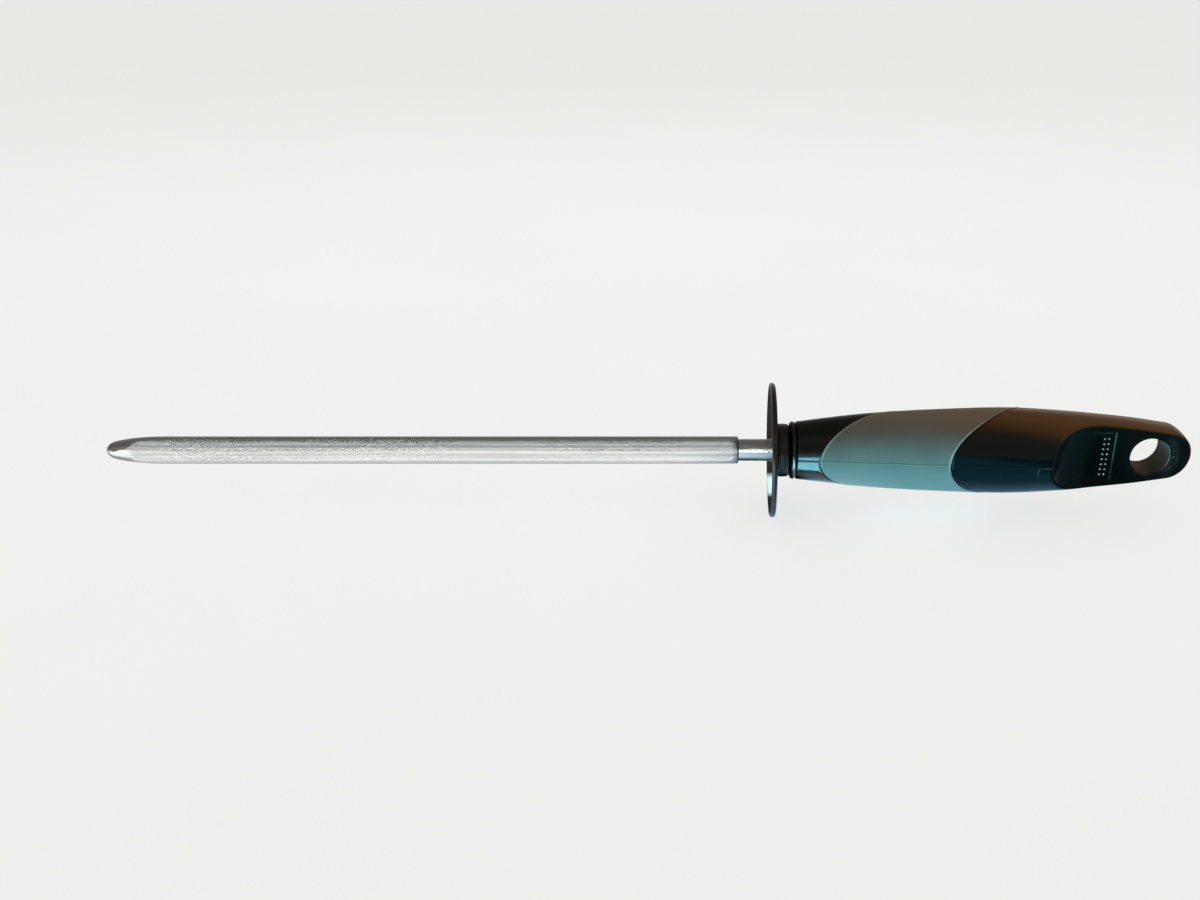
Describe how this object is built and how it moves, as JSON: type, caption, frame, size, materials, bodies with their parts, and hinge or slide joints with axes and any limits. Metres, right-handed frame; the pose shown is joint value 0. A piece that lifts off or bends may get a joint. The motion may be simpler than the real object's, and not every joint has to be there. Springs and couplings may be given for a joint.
{
  "type": "knife sharpening steel",
  "caption": "Ridged round steel rod with a round guard, a stepped bolster and a two-material moulded handle that ends in a flat hanging tab.",
  "frame": {"origin": "centre of the hanging hole, in the middle of the tab's thickness", "axes": "+X along the rod from the tip towards the handle's butt, -Y square to the hanging tab, out of its front face with the sunk panel, +Z across the tab's width"},
  "size_m": [0.3729, 0.0466, 0.0466],
  "materials": {
    "rod_steel": "fine lengthwise ridges, polished nose and neck",
    "guard_metal": "dark polished metal",
    "bolster_metal": "dark polished metal",
    "washer_steel": "plain spring steel",
    "handle_plastic": "glossy black moulded plastic",
    "grip_rubber": "satin grey soft-touch moulding"
  },
  "bodies": {
    "root": {"sharpening_rod": "rod_steel", "guard_disc": "guard_metal", "bolster_barrel": "bolster_metal", "bolster_ring": "bolster_metal", "lock_washer": "washer_steel", "handle_core": "handle_plastic", "soft_grip": "grip_rubber"}
  },
  "joints": []
}
